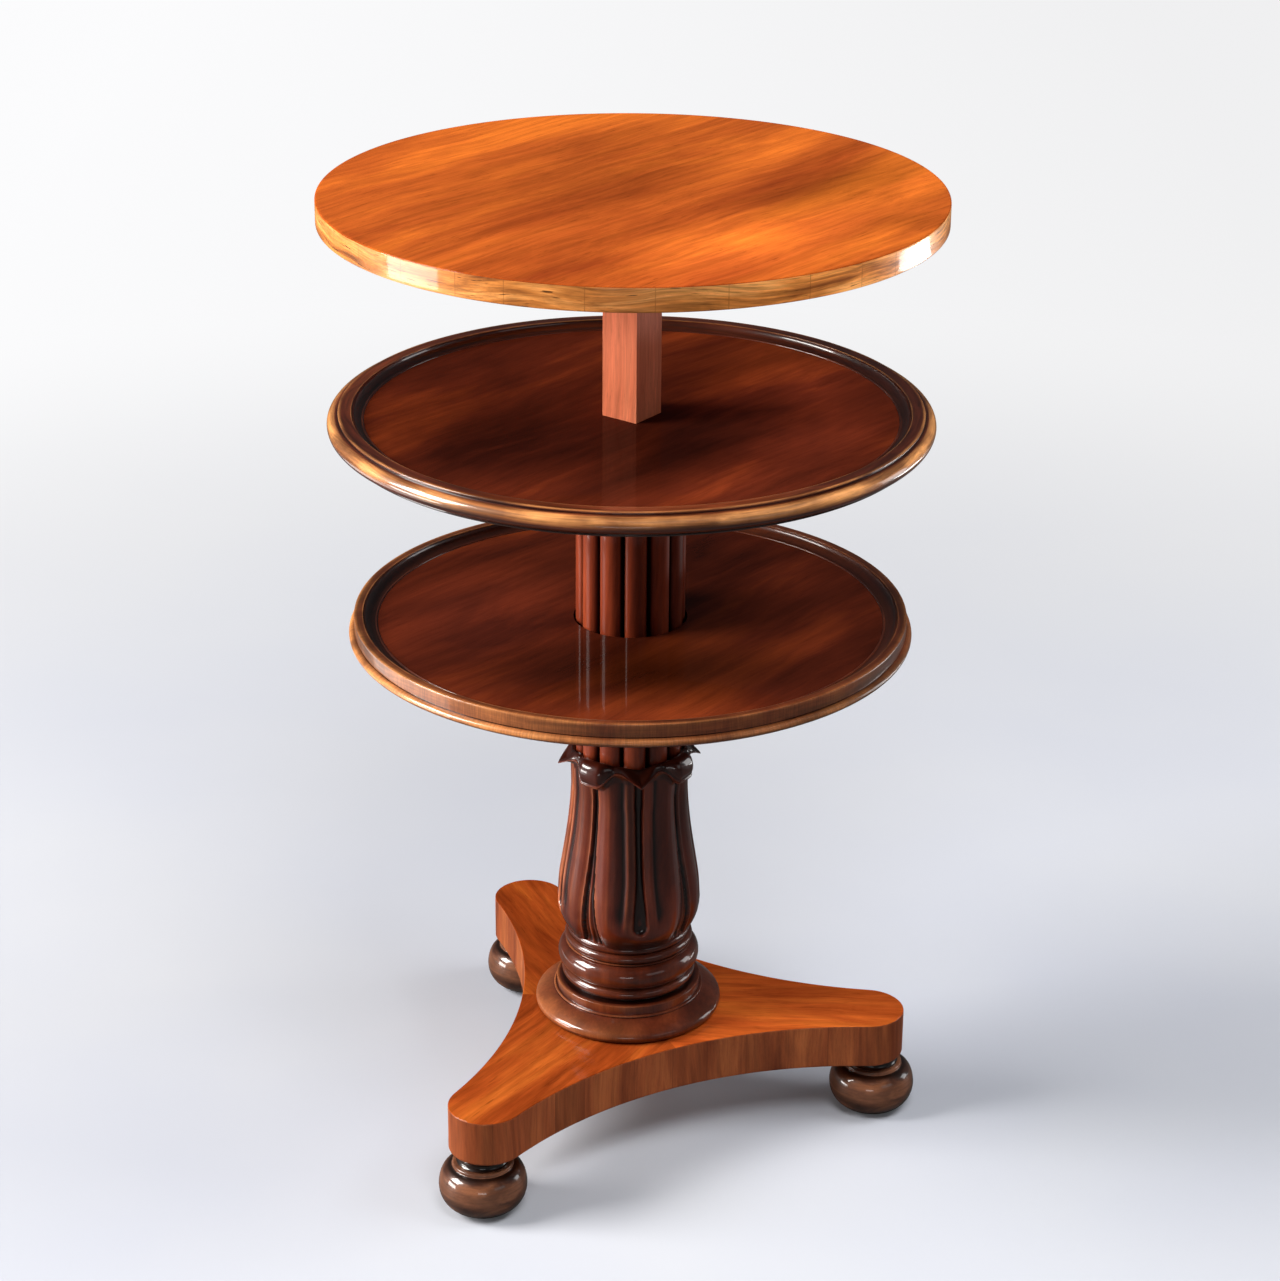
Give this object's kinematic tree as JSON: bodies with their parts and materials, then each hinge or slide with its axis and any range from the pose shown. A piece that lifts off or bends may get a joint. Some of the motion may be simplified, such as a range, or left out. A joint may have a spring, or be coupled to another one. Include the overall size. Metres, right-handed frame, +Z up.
{
  "type": "metamorphic table",
  "caption": "Round tiered mahogany table that closes into one deep top: its top drops on a square post into a reeded column and its lower tier slides up that column.",
  "frame": {"origin": "on the column's axis, at the floor under the feet", "axes": "+Z up along the column, which is the axis of both slides; -Y faces the viewer of the picture, with one foot near +X"},
  "size_m": [0.563, 0.56, 0.924],
  "materials": {
    "polished_mahogany": "waxed French polish",
    "dark_mahogany": "glossy French polish",
    "crossbanded_mahogany": "worn polish",
    "raw_mahogany": "unpolished",
    "steel": "dull",
    "brass": "aged"
  },
  "bodies": {
    "pedestal": {"platform": "polished_mahogany", "platform_banding": "crossbanded_mahogany", "bun_foot_1": "dark_mahogany", "bun_foot_2": "dark_mahogany", "bun_foot_3": "dark_mahogany", "collar_ring": "dark_mahogany", "turned_socle": "dark_mahogany", "lotus_baluster": "dark_mahogany", "reeded_column": "dark_mahogany", "tenon_wedge": "raw_mahogany", "post_guide": "raw_mahogany", "column_flange": "dark_mahogany", "flange_screw_1": "steel", "flange_screw_2": "steel", "flange_screw_3": "steel", "flange_screw_4": "steel", "middle_tier_board": "dark_mahogany", "middle_tier_rim": "crossbanded_mahogany", "tier_stop_ring": "dark_mahogany", "stop_pin_1": "brass", "stop_pin_2": "brass", "tier_catch_spring": "brass", "tier_catch_screw": "brass"},
    "top": {"top_board": "polished_mahogany", "top_banding": "crossbanded_mahogany", "post": "raw_mahogany", "post_flange": "dark_mahogany", "post_flange_screw_1": "steel", "post_flange_screw_2": "steel", "post_flange_screw_3": "steel", "post_flange_screw_4": "steel", "post_shoe": "raw_mahogany", "shoe_screw": "steel", "post_catch_spring": "brass", "post_catch_screw": "brass"},
    "lower_tier": {"lower_tier_board": "dark_mahogany", "lower_tier_rim": "crossbanded_mahogany", "lower_tier_hub": "dark_mahogany", "hub_screw_1": "steel", "hub_screw_2": "steel", "hub_screw_3": "steel", "hub_screw_4": "steel"}
  },
  "joints": [
    {"name": "top_slide", "type": "slide", "parent": "pedestal", "child": "top", "axis": [0, 0, 1], "range_m": [-0.1765, 0], "deforming": ["post_catch_spring"]},
    {"name": "lower_tier_slide", "type": "slide", "parent": "pedestal", "child": "lower_tier", "axis": [0, 0, 1], "range_m": [0, 0.1765], "deforming": ["tier_catch_spring"]}
  ]
}
